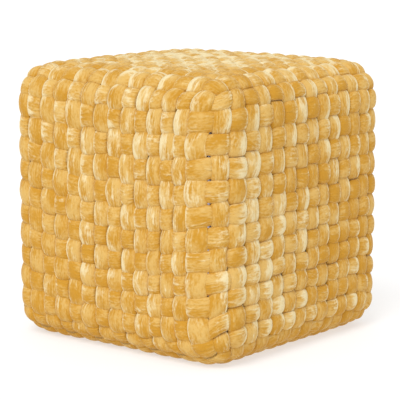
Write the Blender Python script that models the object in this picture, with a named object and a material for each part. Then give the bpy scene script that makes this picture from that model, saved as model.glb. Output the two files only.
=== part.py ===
"""Cube ottoman: a filled cube pouf whose cover is woven from flat padded velvet strips.

The cover has forty closed strips. Twelve run round the four sides, and two sets of fourteen run over the
top and under the base at right angles to each other, so that every face shows a plain weave. The whole
pouf is one filled solid here: a cube is cut into fields, one for each crossing of two strips, each field
is raised the way its upper strip runs, and all is laid on a cube with rounded edges and full faces.
The pouf stands on its base, centred on the origin, with the base at z = 0.
"""

import math

import bmesh
import bpy

# Strips: how many cross a face, and their spacing up the sides
STRIPS_ACROSS = 14
STRIPS_UP = 12
ROW_PITCH = 0.0348

# Body, measured at the middle surface of the weave
HALF_WIDTH = 0.2075
EDGE_RADIUS = 0.043
SIDE_SWELL = 0.004
TOP_CROWN = 0.006

# Weave relief above its middle surface
CROSSING_HEIGHT = 0.0135
RIM_HEIGHT = 0.0118
SEAM_HEIGHT = 0.0075

# How far a raised strip's rim lies in from its seams, as a share of the field: beside it, and where it dives
SIDE_INSET = 0.13
END_INSET = 0.27

# The weight of the pouf presses the crossings under its base down to this height
PRESSED_HEIGHT = 0.0115

# Each drift turns the strips askew round one axis: angle in radians, middle and spread in degrees
RIGHT_ROWS_DRIFT = {"turn": 0.067, "middle": -50, "spread": 40}
FRONT_ROWS_DRIFT = {"turn": -0.091, "middle": 0, "spread": 35}
NEAR_EDGE_DRIFT = {"turn": -0.047, "middle": -45, "spread": 25}

NEARLY_EDGE = 1 - 1e-6
FLAT_HALF = HALF_WIDTH - EDGE_RADIUS
HALF_ARC = FLAT_HALF + EDGE_RADIUS * math.pi / 4
CENTRE_HEIGHT = HALF_WIDTH + PRESSED_HEIGHT


def clamp(value, limit):
    """The value, kept between minus and plus the limit."""
    return max(-limit, min(limit, value))


def out_to_cube(arc):
    """Carries a distance along the rounded surface out to the sharp cube that surrounds it."""
    past_flat = max(abs(arc) - FLAT_HALF, 0)
    place = min(abs(arc), FLAT_HALF) + EDGE_RADIUS * math.tan(past_flat / EDGE_RADIUS)
    return math.copysign(place, arc)


def column_place(share):
    """Even strips: share runs from -1 to 1 over the face."""
    return out_to_cube(share * HALF_ARC)


def row_place(share):
    """The strips up the sides keep ROW_PITCH, and the top and bottom ones take what is left."""
    row = share * STRIPS_UP / 2
    inner_rows = STRIPS_UP / 2 - 1
    past_inner = max(abs(row) - inner_rows, 0)
    outer_pitch = HALF_ARC - inner_rows * ROW_PITCH
    arc = min(abs(row), inner_rows) * ROW_PITCH + past_inner * outer_pitch
    return out_to_cube(math.copysign(arc, row))


def drift_angle(drift, a, b, across):
    """How far a point at (a, b) round the axis is turned, fading to none at the faces' other edges."""
    off_middle = math.degrees(math.atan2(b, a)) - drift["middle"]
    return drift["turn"] * math.exp(-((off_middle / drift["spread"]) ** 2)) * across


def turned(a, b, angle):
    """The point (a, b) turned by the angle, and kept on the square of half side HALF_WIDTH."""
    if abs(angle) < 1e-9:
        return a, b
    new_a = a * math.cos(angle) - b * math.sin(angle)
    new_b = a * math.sin(angle) + b * math.cos(angle)
    to_square = HALF_WIDTH / max(abs(new_a), abs(new_b))
    return new_a * to_square, new_b * to_square


def pulled_askew(x, y, z):
    """Moves a point of the sharp cube over its faces, the way hand-set strips wander on the real pouf."""
    angle = drift_angle(RIGHT_ROWS_DRIFT, x, z, 1 - abs(y / HALF_WIDTH) ** 6)
    x, z = turned(x, z, angle)
    angle = drift_angle(FRONT_ROWS_DRIFT, -y, z, 1 - abs(x / HALF_WIDTH) ** 2)
    front, z = turned(-y, z, angle)
    y = -front
    angle = drift_angle(NEAR_EDGE_DRIFT, x, y, 1 - abs(z / HALF_WIDTH) ** 6)
    x, y = turned(x, y, angle)
    return x, y, z


def on_body(x, y, z, height):
    """Brings a point of the sharp cube in to the pouf's surface, at this height above the weave's middle."""
    core = [clamp(value, FLAT_HALF) for value in (x, y, z)]
    out = [value - middle for value, middle in zip((x, y, z), core)]
    length = math.hypot(*out)
    full_x, full_y, full_z = (max(1 - (value / HALF_WIDTH) ** 2, 0) for value in (x, y, z))
    nearly = HALF_WIDTH - 1e-6
    swell = SIDE_SWELL * full_z * max(full_x * (abs(y) > nearly), full_y * (abs(x) > nearly))
    crown = TOP_CROWN * full_x * full_y * (z > nearly)
    reach = (EDGE_RADIUS + height + swell + crown) / length
    place = [middle + value * reach for middle, value in zip(core, out)]
    place[2] = max(place[2] + CENTRE_HEIGHT, 0)
    return place


def field_of(share, strips):
    """The number of the field that a share of the face lies in, and how far across it, from 0 to 1."""
    line = (share + 1) / 2 * strips
    field = min(math.floor(line + 1e-6), strips - 1)
    return field, line - field


def to_rim(share, local, strips, inset):
    """Moves one share of a raised field's corner so that it lies this far in from the field's edge."""
    rim = inset if local < 0.5 else 1 - inset
    return share + (rim - local) * 2 / strips


def woven(first, second, second_strips, odd):
    """A point's two shares of its face, with a raised field's corners set to its strip, and its height."""
    first_field, first_local = field_of(first, STRIPS_ACROSS)
    second_field, second_local = field_of(second, second_strips)
    off_middle = max(abs(first_local - 0.5), abs(second_local - 0.5))
    if off_middle > 0.49:
        return first, second, SEAM_HEIGHT
    if off_middle < 0.01:
        return first, second, CROSSING_HEIGHT
    runs_along_second = (first_field + second_field + odd) % 2 == 0
    first_inset, second_inset = (SIDE_INSET, END_INSET) if runs_along_second else (END_INSET, SIDE_INSET)
    first = to_rim(first, first_local, STRIPS_ACROSS, first_inset)
    second = to_rim(second, second_local, second_strips, second_inset)
    return first, second, RIM_HEIGHT


def cut_fields(mesh):
    """Cuts the cube along every seam between strips, in the three directions."""
    for axis, strips in enumerate((STRIPS_ACROSS, STRIPS_ACROSS, STRIPS_UP)):
        normal = [0, 0, 0]
        normal[axis] = 1
        for seam in range(1, strips):
            place = [0, 0, 0]
            place[axis] = 2 * seam / strips - 1
            everything = mesh.verts[:] + mesh.edges[:] + mesh.faces[:]
            bmesh.ops.bisect_plane(mesh, geom=everything, plane_co=place, plane_no=normal)


def is_raised(face):
    """Every field is raised but those in the middle of the base, which lie on the floor."""
    middle = face.calc_center_median()
    under = middle.z < NEARLY_EDGE - 2
    return not under or max(abs(middle.x), abs(middle.y)) > 1 - 2 / STRIPS_ACROSS


def raise_strips(mesh):
    """Gives each raised field a rim and a crown, then lays every point on the pouf at its height."""
    fields = [face for face in mesh.faces if is_raised(face)]
    bmesh.ops.inset_individual(mesh, faces=fields, thickness=0.25 / STRIPS_ACROSS)
    bmesh.ops.poke(mesh, faces=fields)
    for point in mesh.verts:
        x, y, z = point.co
        if abs(z) > NEARLY_EDGE:
            x, y, height = woven(x, y, STRIPS_ACROSS, z < 0)
        elif abs(y) > NEARLY_EDGE:
            x, z, height = woven(x, z, STRIPS_UP, y > 0)
        else:
            y, z, height = woven(y, z, STRIPS_UP, x < 0)
        cube_place = pulled_askew(column_place(x), column_place(y), row_place(z))
        on_flat = max(abs(cube_place[0]), abs(cube_place[1])) < FLAT_HALF
        if z < -NEARLY_EDGE and on_flat:
            height = PRESSED_HEIGHT
        point.co = on_body(*cube_place, height)


def velvet():
    """Ochre crushed velvet: soft, with no shine but a faint sheen at the rims."""
    material = bpy.data.materials.new("ochre_velvet")
    material.use_nodes = True
    shader = material.node_tree.nodes["Principled BSDF"]
    shader.inputs["Base Color"].default_value = (0.71, 0.40, 0.095, 1)
    shader.inputs["Roughness"].default_value = 0.85
    shader.inputs["Metallic"].default_value = 0
    shader.inputs["Sheen Weight"].default_value = 0.4
    return material


def woven_pouf():
    """The filled, woven body as one closed solid."""
    mesh = bmesh.new()
    bmesh.ops.create_cube(mesh, size=2)
    cut_fields(mesh)
    raise_strips(mesh)
    bmesh.ops.recalc_face_normals(mesh, faces=mesh.faces[:])
    data = bpy.data.meshes.new("woven_pouf")
    mesh.to_mesh(data)
    mesh.free()
    data.shade_smooth()
    data.materials.append(velvet())
    return bpy.data.objects.new("woven_pouf", data)


for item in list(bpy.data.objects):
    bpy.data.objects.remove(item)
ottoman = bpy.data.collections.new("cube_ottoman")
bpy.context.scene.collection.children.link(ottoman)
ottoman.objects.link(woven_pouf())
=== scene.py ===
import math

import bpy
import numpy as np
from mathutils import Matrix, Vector


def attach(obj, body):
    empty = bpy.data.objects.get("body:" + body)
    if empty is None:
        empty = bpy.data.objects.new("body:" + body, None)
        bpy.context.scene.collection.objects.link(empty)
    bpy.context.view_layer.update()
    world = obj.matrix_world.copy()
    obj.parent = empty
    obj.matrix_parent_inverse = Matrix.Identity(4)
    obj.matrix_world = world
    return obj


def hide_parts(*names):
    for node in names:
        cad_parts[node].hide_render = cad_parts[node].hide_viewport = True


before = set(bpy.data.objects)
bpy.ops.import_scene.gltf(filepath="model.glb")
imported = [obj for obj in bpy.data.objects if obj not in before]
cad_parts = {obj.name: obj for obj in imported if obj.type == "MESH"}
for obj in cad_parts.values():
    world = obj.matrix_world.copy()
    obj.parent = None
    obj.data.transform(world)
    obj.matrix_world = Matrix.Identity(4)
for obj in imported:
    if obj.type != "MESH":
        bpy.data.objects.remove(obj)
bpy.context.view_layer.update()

# Filled body
# A cube bag of crumb filling, sewn from pale lilac cotton, with full sides and a crowned top. The strips are
# woven round it, and it swells a little into the small gaps where four of them meet, where alone it shows.

# How many strips cross a face, and the spacing of the level ones up the sides. The place where two strips
# cross is called a field.
STRIPS_ACROSS = 14
STRIPS_UP = 12
ROW_PITCH = 0.0348

# The body, measured at the middle surface of the weave
HALF_WIDTH = 0.2075
EDGE_RADIUS = 0.043
SIDE_SWELL = 0.004
TOP_CROWN = 0.006
PRESSED_HEIGHT = 0.0115
FLAT_HALF = HALF_WIDTH - EDGE_RADIUS
HALF_ARC = FLAT_HALF + EDGE_RADIUS * math.pi / 4
CENTRE_HEIGHT = HALF_WIDTH + PRESSED_HEIGHT

# Each drift turns the strips askew round one axis: angle in radians, middle and spread in degrees, and how
# late it fades towards the faces' other edges
RIGHT_ROWS_DRIFT = {"turn": 0.067, "middle": -50, "spread": 40, "fade": 6}
FRONT_ROWS_DRIFT = {"turn": -0.091, "middle": 0, "spread": 35, "fade": 2}
NEAR_EDGE_DRIFT = {"turn": -0.047, "middle": -45, "spread": 25, "fade": 6}

# How closely a point has to lie on a face to count as on it, and the least angle that counts as a turn
NEARLY = 1e-6
LEAST_TURN = 1e-9

# The lining lies below the weave's middle surface and swells where four strips meet, within a share of a
# field. It swells more about halfway up the near upright edge, within shares of half a face.
LINING_HEIGHT = -0.0095
LINING_SWELL = 0.0115
SWELL_REACH = 0.12
EDGE_SWELL = 0.0075
EDGE_SWELL_ACROSS = 0.04
EDGE_SWELL_UP = 0.45
LINING_CUTS_PER_FIELD = 6

# The cotton's thread spacing is drawn about twice as coarse as it is, so that it shows
COTTON_THREAD = 0.0009
COTTON_LILAC = "#D9D2E0"
COTTON_SHADE = "#B9AFC6"


def out_to_cube(arc):
    """Carries distances along the rounded surface out to the sharp cube that surrounds it."""
    past_flat = np.maximum(np.abs(arc) - FLAT_HALF, 0)
    place = np.minimum(np.abs(arc), FLAT_HALF) + EDGE_RADIUS * np.tan(past_flat / EDGE_RADIUS)
    return np.copysign(place, arc)


def on_axis(share, axis):
    """Where shares from -1 to 1 of a face lie along an axis: up the sides the strips keep their pitch."""
    if axis != 2:
        return out_to_cube(share * HALF_ARC)
    rows = share * STRIPS_UP / 2
    inner = STRIPS_UP / 2 - 1
    outer_pitch = HALF_ARC - inner * ROW_PITCH
    arc = np.minimum(np.abs(rows), inner) * ROW_PITCH + np.maximum(np.abs(rows) - inner, 0) * outer_pitch
    return out_to_cube(np.copysign(arc, rows))


def turned(a, b, along, drift):
    """Turns points about one axis by a drift, and keeps them on the sharp cube."""
    off_middle = np.degrees(np.arctan2(b, a)) - drift["middle"]
    faded = 1 - np.clip(np.abs(along / HALF_WIDTH), 0, 1) ** drift["fade"]
    angle = drift["turn"] * np.exp(-((off_middle / drift["spread"]) ** 2)) * faded
    new_a = a * np.cos(angle) - b * np.sin(angle)
    new_b = a * np.sin(angle) + b * np.cos(angle)
    reach = np.maximum(np.abs(new_a), np.abs(new_b))
    moved = (np.abs(angle) > LEAST_TURN) & (reach > 0)
    to_square = np.where(moved, HALF_WIDTH / np.where(moved, reach, 1), 1)
    return new_a * to_square, new_b * to_square


def on_body(shares, height):
    """Lays shares of the three axes on the pouf, each point so high above the weave's middle surface."""
    x, y, z = (on_axis(share, axis) for axis, share in enumerate(shares))
    x, z = turned(x, z, y, RIGHT_ROWS_DRIFT)
    front, z = turned(-y, z, x, FRONT_ROWS_DRIFT)
    x, y = turned(x, -front, z, NEAR_EDGE_DRIFT)
    cube = np.stack([x, y, z], axis=-1)
    core = np.clip(cube, -FLAT_HALF, FLAT_HALF)
    out = cube - core
    full = np.clip(1 - (cube / HALF_WIDTH) ** 2, 0, 1)
    on_face = np.abs(cube) > HALF_WIDTH - NEARLY
    side = full[..., 2] * np.maximum(full[..., 0] * on_face[..., 1], full[..., 1] * on_face[..., 0])
    top = full[..., 0] * full[..., 1] * (z > HALF_WIDTH - NEARLY)
    reach = (EDGE_RADIUS + height + SIDE_SWELL * side + TOP_CROWN * top) / np.linalg.norm(out, axis=-1)
    place = core + out * reach[..., None]
    place[..., 2] = np.maximum(place[..., 2] + CENTRE_HEIGHT, 0)
    return place


def read_points(piece):
    """The points of a piece's mesh, a row for each."""
    points = np.empty(len(piece.data.vertices) * 3, np.float32)
    piece.data.vertices.foreach_get("co", points)
    return points.reshape(-1, 3).astype(float)


def write_points(piece, points):
    """Moves the points of a piece's mesh, a row for each."""
    piece.data.vertices.foreach_set("co", points.astype(np.float32).ravel())
    piece.data.update()


def to_linear(hex_colour):
    """An sRGB hex colour as linear red, green, blue and alpha."""
    values = [int(hex_colour[place : place + 2], 16) / 255 for place in (1, 3, 5)]
    linear = [value / 12.92 if value <= 0.04045 else ((value + 0.055) / 1.055) ** 2.4 for value in values]
    return (*linear, 1)


def add_node(material, kind, settings, inputs):
    """Adds a node, sets its options, and sets or links each input by its name or number."""
    node = material.node_tree.nodes.new(kind)
    for name, value in settings.items():
        setattr(node, name, value)
    for name, value in inputs.items():
        if isinstance(value, bpy.types.NodeSocket):
            material.node_tree.links.new(value, node.inputs[name])
        else:
            node.inputs[name].default_value = value
    return node


def lining_cotton():
    """Plain-woven cotton calico: matt and pale, with threads that break up its colour a little."""
    material = bpy.data.materials.new("lining_cotton")
    material.use_nodes = True
    shader = material.node_tree.nodes["Principled BSDF"]
    place = add_node(material, "ShaderNodeTexCoord", {}, {}).outputs["Object"]
    thread = {"Vector": place, "Scale": 1 / COTTON_THREAD, "Detail": 1}
    threads = add_node(material, "ShaderNodeTexNoise", {}, thread).outputs["Fac"]
    tint = add_node(material, "ShaderNodeValToRGB", {}, {"Fac": threads})
    tint.color_ramp.elements[0].color = to_linear(COTTON_SHADE)
    tint.color_ramp.elements[1].color = to_linear(COTTON_LILAC)
    relief = {"Height": threads, "Strength": 0.3, "Distance": COTTON_THREAD / 4}
    weave = add_node(material, "ShaderNodeBump", {}, relief)
    material.node_tree.links.new(tint.outputs["Color"], shader.inputs["Base Color"])
    material.node_tree.links.new(weave.outputs["Normal"], shader.inputs["Normal"])
    shader.inputs["Roughness"].default_value = 0.9
    shader.inputs["Specular IOR Level"].default_value = 0.3
    return material


def make_lining():
    """A finely cut cube, laid on the pouf's form a little below the weave."""
    bpy.ops.mesh.primitive_cube_add(size=2)
    lining = bpy.context.object
    lining.name = "filled_lining"
    bpy.ops.object.mode_set(mode="EDIT")
    bpy.ops.mesh.subdivide(number_cuts=STRIPS_ACROSS * LINING_CUTS_PER_FIELD - 1)
    bpy.ops.object.mode_set(mode="OBJECT")
    shares = read_points(lining).T
    seams = (shares + 1) / 2 * np.array([STRIPS_ACROSS, STRIPS_ACROSS, STRIPS_UP])[:, None]
    to_seam = np.where(np.abs(shares) > 1 - NEARLY, 0, np.abs(seams - np.round(seams)))
    gap = np.exp(-((np.max(to_seam, axis=0) / SWELL_REACH) ** 2))
    off_near_edge = np.hypot(1 - shares[0], 1 + shares[1]) / EDGE_SWELL_ACROSS
    at_near_edge = np.exp(-(off_near_edge**2) - (shares[2] / EDGE_SWELL_UP) ** 2)
    swell = LINING_SWELL + EDGE_SWELL * at_near_edge
    write_points(lining, on_body(shares, LINING_HEIGHT + swell * gap))
    lining.data.shade_smooth()
    lining.data.materials.append(lining_cotton())
    return lining


bpy.ops.object.select_all(action="DESELECT")
filled_lining = make_lining()
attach(filled_lining, "root")
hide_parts("woven_pouf")

# Strips round the sides
# Twelve closed tubes of crushed cotton velvet, flattened over a thin wadding. Each runs level round the four
# sides, over one upright strip and under the next, and its ends are joined where an upright hides them.

# A strip's mesh has stations along each field and a ring of points round it, most of them over its top. The
# others lie within this share of its half width.
STATIONS_PER_FIELD = 12
RING_POINTS = 16
TOP_POINTS = 13
UNDERSIDE_HALF = 0.6
MERGE_DISTANCE = 1e-6

# A strip's lift is one where it lies over and none where it passes under: its middle and thickness at both,
# how steeply it dives between them, how squarely its rims are filled and how far they droop
OVER_MIDDLE = 0.0074
OVER_THICKNESS = 0.0127
UNDER_MIDDLE = -0.0035
UNDER_THICKNESS = 0.007
DIVE_POWER = 0.57
RIM_SQUARENESS = 2.6
RIM_DROOP = 0.001

# It narrows below this lift, slowly at first
TAPERED_LIFT = 0.65
TAPER_POWER = 1.5

# How a level strip lies on the front, right, back and left. Its width is a share of a field, taper is how
# far it narrows, reach is how long it stays over, and rise is how high it rides. Tone and patchy are how
# pale and how uneven its pile is. A crossing's painted sheen rim, a pale rim painted where velvet would
# catch grazing light, is where it ends or, below zero, where it starts.
LEVEL_LIE = {
    "width": (1.02, 0.97, 1.02, 0.97),
    "taper": (0.03, 0.22, 0.03, 0.22),
    "reach": (0.07, 0.34, 0.07, 0.34),
    "rise": (-0.0003, 0.0005, -0.0003, 0.0005),
    "tone": (-0.3, 0, -0.2, 0),
    "patchy": (0.6, 1.15, 0.6, 1.15),
    "painted_sheen_rim": (-1.1, 1.7, -1.1, 1.6),
}

# Drawn tight round the upright edges, within this many fields of them, the level strips stay over longer
# and wander less, and the lowest and the highest one widen
CORNER_FIELDS = 0.8
CORNER_REACH = 0.35
CORNER_HOLD = 0.75
CORNER_WIDENING = 0.35

# Each crossing leans to the side of its painted sheen rim: a level strip's by a shift along it, in fields,
# and an upright one's by a tilt, in metres
LEVEL_SHIFT = 0.05
UPRIGHT_TILT = 0.0011

# How far hand setting varies from one crossing to the next: the place across and along in fields, the
# height and lean in metres, the reach, and the width and the painted sheen rim as shares
LOOSE_ACROSS = 0.09
LOOSE_ALONG = 0.04
LOOSE_HEIGHT = 0.0005
LOOSE_LEAN = 0.0005
LOOSE_REACH = 0.13
LOOSE_WIDTH = 0.07
LOOSE_RIM = 0.7

OCHRE = "#C6902D"
PALE_OCHRE = "#D8B064"
# The deep ochre is painted shade for the seams
PAINTED_SHADE_OCHRE = "#9C6A20"
CREAM = "#EBDBAE"
SHEEN_CREAM = "#FFF0C8"

# The marks in the pile: length along the strip and width across it, for a strip of this field length and
# half width
FIELD_LENGTH = 0.0305
STRIP_HALF = 0.0155
MARKS = {
    "nap": {"length": 0.03, "width": 0.02, "detail": 1, "distortion": 0.3},
    "rubs": {"length": 0.018, "width": 0.011, "detail": 3, "distortion": 0.2},
    "grain": {"length": 0.005, "width": 0.0028, "detail": 3, "distortion": 0.2},
    "creases": {"length": 0.03, "width": 0.0032, "detail": 1, "distortion": 0.35},
}

# What makes the pile paler, what rubs it to cream and what folds it, each as a sum of shares. The rim share
# lays in painted sheen, and the brushed share lays in painted sheen and painted shade besides the pile's
# tone.
MIXES = {
    "paler": {"nap": 1, "grain": 0.8, "tone_and_painted_light": 0.12, "creases": 0.5},
    "rubbed": {"rubs": 1, "grain": 0.35, "tone_and_painted_light": 0.18, "painted_sheen_rim": 0.3, "creases": 0.4},
    "folds": {"grain": 1, "creases": 0.8},
}

# The colours laid over the ochre in turn, each with what it follows, from what value to what value, and how
# much of it is laid on at those two
OVERLAYS = (
    {"follows": "paler", "from": 0.91, "to": 1.39, "amounts": (0, 1), "colour": PALE_OCHRE},
    {"follows": "rubbed", "from": 0.9, "to": 1.3, "amounts": (0, 0.9), "colour": CREAM},
    # Painted shade: the deep ochre darkens the seams where a strip dives under its neighbours.
    {"follows": "lift", "from": 0.4, "to": 0.8, "amounts": (0.75, 0), "colour": PAINTED_SHADE_OCHRE},
)

# A Mix node's colour sockets share their names with its number sockets, so they go by number
MIX_AMOUNT = 0
MIX_UNDER = 6
MIX_OVER = 7
MIX_RESULT = 2

# Places where the pile is paler or, below zero, deeper. The broad pale patch over the top is painted sheen,
# where the top meets the light at a grazing angle.
TONE_AND_SHEEN_PATCHES = (
    {"middle": (0.22, -0.11, 0.15), "reach": 0.12, "level": 1.1, "upright": 0.5},
    {"middle": (0.18, -0.2, 0.08), "reach": 0.08, "level": -0.4, "upright": -0.4},
    {"middle": (0.22, 0, 0.38), "reach": 0.14, "level": -0.8, "upright": -0.1},
    {"middle": (0.22, 0.11, 0.2), "reach": 0.12, "level": -1, "upright": -0.6},
    {"middle": (0.22, 0.15, 0.06), "reach": 0.1, "level": 0.8, "upright": -0.6},
    {"middle": (0.21, -0.09, 0.44), "reach": 0.08, "level": -0.5, "upright": -0.8},
    {"middle": (0.12, -0.22, 0.35), "reach": 0.1, "level": 0.7, "upright": 0.4},
    {"middle": (-0.1, -0.22, 0.37), "reach": 0.12, "level": 1, "upright": -0.6},
    {"middle": (0, -0.22, 0.2), "reach": 0.12, "level": -0.4, "upright": 0.5},
    {"middle": (-0.22, -0.22, 0.16), "reach": 0.12, "level": -0.6, "upright": -0.8},
    # Painted sheen: this broad pale patch over the top stands for grazing light on the velvet.
    {"middle": (0, 0.04, 0.45), "reach": 0.22, "level": 0, "upright": 1.8},
    {"middle": (-0.22, 0.1, 0.2), "reach": 0.11, "level": 0.5, "upright": 0.5},
)

# Low down, near the floor, the pile is painted deeper: painted contact shade
BASE_PAINTED_SHADE = 1.3
BASE_PAINTED_SHADE_HEIGHT = 0.03

# Down the near upright edge it is rubbed even, and its painted sheen rims are fainter
NEAR_EDGE = (0.215, -0.215)
EVEN_REACH = 0.05
EVEN_AT_EDGE = 0.55

# This share of a painted sheen rim grows evenly across its crossing, and the rest only close to the rim
RIM_EVENLY = 0.5
RIM_POWER = 4


def crushed_velvet():
    """Cotton velvet, crushed in the dye: ochre pile with rubbed cream patches, pale at grazing angles.
    Painted sheen lies on its far rims and over the top, and painted shade in its seams and low down.
    """
    material = bpy.data.materials.new("crushed_cotton_velvet")
    material.use_nodes = True
    shader = material.node_tree.nodes["Principled BSDF"]
    place = add_node(material, "ShaderNodeAttribute", {"attribute_name": "strip_place"}, {})
    pile = add_node(material, "ShaderNodeAttribute", {"attribute_name": "strip_pile_and_painted_light"}, {})
    parts = add_node(material, "ShaderNodeSeparateXYZ", {}, {"Vector": pile.outputs["Vector"]}).outputs
    values = {"lift": parts["X"], "painted_sheen_rim": parts["Y"], "tone_and_painted_light": parts["Z"]}
    for name, mark in MARKS.items():
        inputs = {0: place.outputs["Vector"], 1: (1 / mark["length"], 1 / mark["width"], 1)}
        scaled = add_node(material, "ShaderNodeVectorMath", {"operation": "MULTIPLY"}, inputs).outputs[0]
        noise = {"Vector": scaled, "Scale": 1, "Detail": mark["detail"], "Distortion": mark["distortion"]}
        values[name] = add_node(material, "ShaderNodeTexNoise", {}, noise).outputs["Fac"]
    for name, shares in MIXES.items():
        total = 0
        for part, share in shares.items():
            inputs = {0: values[part], 1: share, 2: total}
            total = add_node(material, "ShaderNodeMath", {"operation": "MULTIPLY_ADD"}, inputs).outputs[0]
        values[name] = total

    colour = to_linear(OCHRE)
    for overlay in OVERLAYS:
        at_from, at_to = overlay["amounts"]
        levels = {"From Min": overlay["from"], "From Max": overlay["to"], "To Min": at_from, "To Max": at_to}
        inputs = {"Value": values[overlay["follows"]], **levels}
        amount = add_node(material, "ShaderNodeMapRange", {"interpolation_type": "SMOOTHSTEP"}, inputs)
        over = to_linear(overlay["colour"])
        inputs = {MIX_AMOUNT: amount.outputs["Result"], MIX_UNDER: colour, MIX_OVER: over}
        colour = add_node(material, "ShaderNodeMix", {"data_type": "RGBA"}, inputs).outputs[MIX_RESULT]
    relief = {"Height": values["folds"], "Strength": 0.9, "Distance": 0.0018}
    bump = add_node(material, "ShaderNodeBump", {}, relief)
    material.node_tree.links.new(colour, shader.inputs["Base Color"])
    material.node_tree.links.new(bump.outputs["Normal"], shader.inputs["Normal"])
    shader.inputs["Roughness"].default_value = 0.8
    shader.inputs["Specular IOR Level"].default_value = 0.2
    shader.inputs["Sheen Weight"].default_value = 0.6
    shader.inputs["Sheen Roughness"].default_value = 0.3
    shader.inputs["Sheen Tint"].default_value = to_linear(SHEEN_CREAM)
    return material


def loosely(random, walk, fields):
    """Values from -1 to 1 that drift from one crossing to the next and close on themselves."""
    values = random.uniform(-1, 1, fields)
    crossing = np.floor(walk - 0.5).astype(int)
    part = walk - 0.5 - crossing
    ease = part * part * (3 - 2 * part)
    return values[crossing % fields] * (1 - ease) + values[(crossing + 1) % fields] * ease


def on_leg(values, walk, corners):
    """The value of the side that the strip is on, blended into the next one round each corner."""
    plateaus = np.stack([corners[:-1] + 0.5, corners[1:] - 0.5], axis=1).ravel()
    return np.interp(walk, plateaus, np.repeat(values, 2), period=corners[-1])


def strip_course(walk, corners, first_over, lie, level, outermost, random):
    """How a strip lies at each station of its walk round the pouf."""
    lies = {part: on_leg(values, walk, corners) for part, values in lie.items()}
    drawn = ("wander", "fullness", "spread", "lean", "shade", "length")
    loose = {part: loosely(random, walk, corners[-1]) for part in drawn}
    to_corner = np.min(np.abs(walk - corners), axis=1, keepdims=True)
    at_corner = np.exp(-((to_corner / CORNER_FIELDS) ** 2)) * level
    rim_side = np.clip(lies["painted_sheen_rim"], -1, 1)

    reach = lies["reach"] + LOOSE_REACH * loose["length"] + CORNER_REACH * at_corner
    shift = LOOSE_ALONG * loose["wander"] - LEVEL_SHIFT * rim_side * level
    side = 1 if first_over else -1
    wave = (side * np.sin(math.pi * (walk + shift)) + reach) / (1 + reach)
    lift = (np.sign(wave) * np.abs(wave) ** DIVE_POWER + 1) / 2
    over_middle = OVER_MIDDLE + lies["rise"] + LOOSE_HEIGHT * loose["fullness"]
    tapered = np.clip((1 - lift) / (1 - TAPERED_LIFT), 0, 1) ** TAPER_POWER
    width = lies["width"] * (1 - lies["taper"] * tapered) * (1 + LOOSE_WIDTH * loose["spread"])
    return {
        "lift": lift,
        "middle": UNDER_MIDDLE + (over_middle - UNDER_MIDDLE) * lift,
        "thickness": UNDER_THICKNESS + (OVER_THICKNESS - UNDER_THICKNESS) * lift,
        "tilt": (LOOSE_LEAN * loose["lean"] + UPRIGHT_TILT * rim_side * (not level)) * lift,
        "width": width * (1 + CORNER_WIDENING * at_corner * outermost),
        "off_centre": LOOSE_ACROSS * loose["wander"] * (1 - CORNER_HOLD * at_corner),
        "tone": lies["patchy"] * loose["shade"] + lies["tone"],
        "painted_sheen_rim": lies["painted_sheen_rim"] * (1 + LOOSE_RIM * loose["fullness"]),
    }


def strip_rings(course):
    """The ring of points at each station: how far across the strip and how high each one lies."""
    top = np.sin(np.linspace(-math.pi / 2, math.pi / 2, TOP_POINTS))
    underside = np.linspace(UNDERSIDE_HALF, -UNDERSIDE_HALF, RING_POINTS - TOP_POINTS)
    across = np.concatenate([top, underside])[None, :]
    up = np.concatenate([np.ones(len(top)), -np.ones(len(underside))])[None, :]
    round_off = (1 - np.abs(across) ** RIM_SQUARENESS) ** 0.5
    height = course["middle"] + up * course["thickness"] / 2 * round_off
    return across, height - RIM_DROOP * across**2 * course["lift"] + course["tilt"] * across


def pile_values(points, walk, across, course, level, seed):
    """What the velvet reads at each point: its place on the strip, its lift, its painted sheen rim, and its
    tone with painted sheen and painted shade.
    """
    flat = np.zeros_like(points[..., 0])
    place = [flat + walk * FIELD_LENGTH, flat + across * STRIP_HALF, flat + seed]
    tone_and_painted_light = flat + course["tone"]
    for patch in TONE_AND_SHEEN_PATCHES:
        off = np.linalg.norm(points - np.array(patch["middle"]), axis=-1) / patch["reach"]
        tone_and_painted_light += patch["level" if level else "upright"] * np.exp(-(off**2))
    # Painted shade: the colour is made deeper close to the floor.
    tone_and_painted_light -= BASE_PAINTED_SHADE * np.exp(-((points[..., 2] / BASE_PAINTED_SHADE_HEIGHT) ** 2))
    # Painted sheen: a pale rim is painted along one side of each crossing, where velvet would catch grazing
    # light.
    along = 2 * (walk - np.floor(walk)) - 1
    to_rim = np.sign(course["painted_sheen_rim"]) * (along if level else across)
    close_to_rim = np.maximum(to_rim, 0) ** RIM_POWER
    painted_sheen_rim = np.abs(course["painted_sheen_rim"]) * (RIM_EVENLY * to_rim + (1 - RIM_EVENLY) * close_to_rim)
    off_edge = np.hypot(points[..., 0] - NEAR_EDGE[0], points[..., 1] - NEAR_EDGE[1]) / EVEN_REACH
    uneven = 1 - EVEN_AT_EDGE * np.exp(-(off_edge**2))
    pile = [flat + course["lift"], painted_sheen_rim * uneven, tone_and_painted_light * uneven]
    return {"strip_place": np.stack(place, axis=-1), "strip_pile_and_painted_light": np.stack(pile, axis=-1)}


def add_strip_grid(name, stations):
    """A flat grid to roll up into a strip, with each point's station along it and its number in the ring."""
    bpy.ops.mesh.primitive_grid_add(x_subdivisions=stations, y_subdivisions=RING_POINTS, size=1)
    strip = bpy.context.object
    strip.name = name
    strip.data.name = name
    grid = read_points(strip) + 0.5
    station = np.round(grid[:, 0] * stations).astype(int) % stations
    ring = np.round(grid[:, 1] * RING_POINTS).astype(int) % RING_POINTS
    return strip, station, ring


def close_strip():
    """Joins the rolled grid's edges, so that the strip is a closed tube whose ends meet."""
    bpy.ops.object.mode_set(mode="EDIT")
    bpy.ops.mesh.select_all(action="SELECT")
    bpy.ops.mesh.remove_doubles(threshold=MERGE_DISTANCE)
    bpy.ops.mesh.normals_make_consistent(inside=False)
    bpy.ops.object.mode_set(mode="OBJECT")


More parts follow.
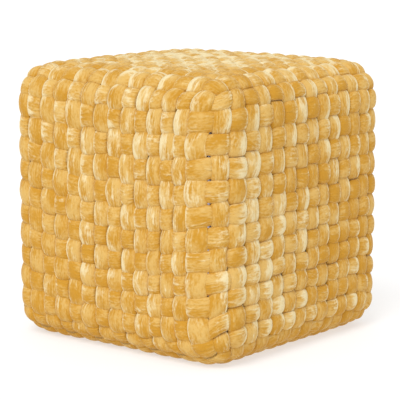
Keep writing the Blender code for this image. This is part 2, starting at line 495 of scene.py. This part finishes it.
def weave_strip(name, run_axes, cross_axis, number, first_over, lie, seed):
    """Weaves one closed strip round the pouf, over and under the strips that it meets."""
    counts = [STRIPS_UP if axis == 2 else STRIPS_ACROSS for axis in (*run_axes, cross_axis)]
    corners = np.cumsum([0, counts[0], counts[1], counts[0], counts[1]])
    stations = int(corners[-1]) * STATIONS_PER_FIELD
    walk = (np.arange(stations) / STATIONS_PER_FIELD)[:, None]
    level = cross_axis == 2
    outermost = number in (0, counts[2] - 1)
    course = strip_course(walk, corners, first_over, lie, level, outermost, np.random.default_rng(seed))
    across, height = strip_rings(course)

    flat = np.zeros_like(height)
    fields = number + 0.5 + course["width"] / 2 * across + course["off_centre"]
    shares = [None, None, None]
    shares[run_axes[0]] = flat + np.interp(walk, corners, [-1, 1, 1, -1, -1])
    shares[run_axes[1]] = flat + np.interp(walk, corners, [-1, -1, 1, 1, -1])
    shares[cross_axis] = np.clip(2 * fields / counts[2] - 1, -1, 1)
    points = on_body(shares, height)

    strip, station, ring = add_strip_grid(name, stations)
    write_points(strip, points[station, ring])
    for label, values in pile_values(points, walk, across, course, level, seed).items():
        attribute = strip.data.attributes.new(label, "FLOAT_VECTOR", "POINT")
        attribute.data.foreach_set("vector", values[station, ring].astype(np.float32).ravel())
    close_strip()
    strip.data.shade_smooth()
    strip.data.materials.append(velvet)
    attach(strip, "root")
    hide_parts("woven_pouf")


velvet = crushed_velvet()
for row in range(STRIPS_UP):
    name = f"level_strip_{row + 1:02d}"
    weave_strip(name, (0, 1), 2, row, row % 2 == 1, LEVEL_LIE, 100 + row)

# Strips over the top
# Two sets of fourteen closed strips of the same padded velvet. One set goes up the front and down the back,
# the other up the left and down the right, and they cross each other on the top and under the base.

# How a strip of each set lies on its four sides in turn: going up, over the top, going down and under the
# base. Its painted sheen rim, a pale rim painted for grazing light, is the one towards the right or the back
# or, below zero, the left or the front.
FRONT_BACK_LIE = {
    "width": (1.12, 1.1, 1.12, 1.1),
    "taper": (0.18, 0.16, 0.18, 0.16),
    "reach": (0.5, 0.3, 0.5, 0.3),
    "rise": (0.0004, 0, 0.0004, 0),
    "tone": (0, 0, 0, 0),
    "patchy": (0.6, 1, 0.6, 1),
    "painted_sheen_rim": (-1.2, -2, 1.2, 0),
}
LEFT_RIGHT_LIE = {
    "width": (1.06, 1.1, 1.06, 1.1),
    "taper": (0.1, 0.16, 0.1, 0.16),
    "reach": (0.38, 0.3, 0.38, 0.3),
    "rise": (-0.0004, 0, -0.0004, 0),
    "tone": (0, 0, 0, 0),
    "patchy": (1.15, 1, 1.15, 1),
    "painted_sheen_rim": (-1.4, 2, 2.1, 0),
}
for column in range(STRIPS_ACROSS):
    name = f"front_back_strip_{column + 1:02d}"
    weave_strip(name, (2, 1), 0, column, column % 2 == 0, FRONT_BACK_LIE, 200 + column)
for column in range(STRIPS_ACROSS):
    name = f"left_right_strip_{column + 1:02d}"
    weave_strip(name, (2, 0), 1, column, column % 2 == 1, LEFT_RIGHT_LIE, 300 + column)

# Studio
# White paper on a light table, wide enough to fill the view: its glow leaves only a faint shadow. One broad,
# soft light stands high in front, and white air all round lights the rest.
FLOOR_WHITE = "#B0B0B0"
FLOOR_GLOW = 0.57
FLOOR_HALF = 14
FLOOR_DROP = 0.0003
AIR_BRIGHTNESS = 0.8

# Where the light stands and how wide it looks, in degrees
FRONT_LIGHT = {"heading": -72, "rise": 50, "spread": 30, "strength": 1.58}


def make_floor():
    """The paper, just clear of the pouf's base."""
    bpy.ops.mesh.primitive_plane_add(size=2 * FLOOR_HALF, location=(0, 0, -FLOOR_DROP))
    floor = bpy.context.object
    floor.name = "studio_floor"
    material = bpy.data.materials.new("matt_white_paper")
    material.use_nodes = True
    shader = material.node_tree.nodes["Principled BSDF"]
    shader.inputs["Base Color"].default_value = to_linear(FLOOR_WHITE)
    shader.inputs["Emission Color"].default_value = (1, 1, 1, 1)
    shader.inputs["Emission Strength"].default_value = FLOOR_GLOW
    shader.inputs["Roughness"].default_value = 0.9
    floor.data.materials.append(material)


def towards(heading, rise):
    """The direction with this heading, from +X towards +Y, and this rise above the floor, in degrees."""
    heading, rise = math.radians(heading), math.radians(rise)
    return Vector((math.cos(rise) * math.cos(heading), math.cos(rise) * math.sin(heading), math.sin(rise)))


def add_front_light():
    """A broad, even studio light from far off."""
    bpy.ops.object.light_add(type="SUN")
    light = bpy.context.object
    light.name = "front_light"
    light.data.angle = math.radians(FRONT_LIGHT["spread"])
    light.data.energy = FRONT_LIGHT["strength"]
    place = towards(FRONT_LIGHT["heading"], FRONT_LIGHT["rise"])
    light.rotation_euler = place.to_track_quat("Z", "Y").to_euler()


make_floor()
add_front_light()
world = bpy.data.worlds.new("studio_air")
world.use_nodes = True
world.node_tree.nodes["Background"].inputs["Color"].default_value = (1, 1, 1, 1)
world.node_tree.nodes["Background"].inputs["Strength"].default_value = AIR_BRIGHTNESS
bpy.context.scene.world = world
bpy.context.scene.view_settings.view_transform = "Standard"

# Camera
# A long lens a little above the pouf, looking at its near upright edge. The picture is 400 pixels wide.
CAMERA_PLACE = (1.8017, -2.1896, 0.6926)
CAMERA_HEADING = 129.4
CAMERA_RISE = -9.62
FOCAL_PIXELS = 1764
PICTURE_PIXELS = 400
SENSOR_WIDTH = 36

bpy.ops.object.camera_add(location=CAMERA_PLACE)
camera = bpy.context.object
camera.name = "photo_camera"
camera.data.sensor_width = SENSOR_WIDTH
camera.data.lens = FOCAL_PIXELS / PICTURE_PIXELS * SENSOR_WIDTH
camera.rotation_euler = towards(CAMERA_HEADING, CAMERA_RISE).to_track_quat("-Z", "Y").to_euler()
bpy.context.scene.camera = camera
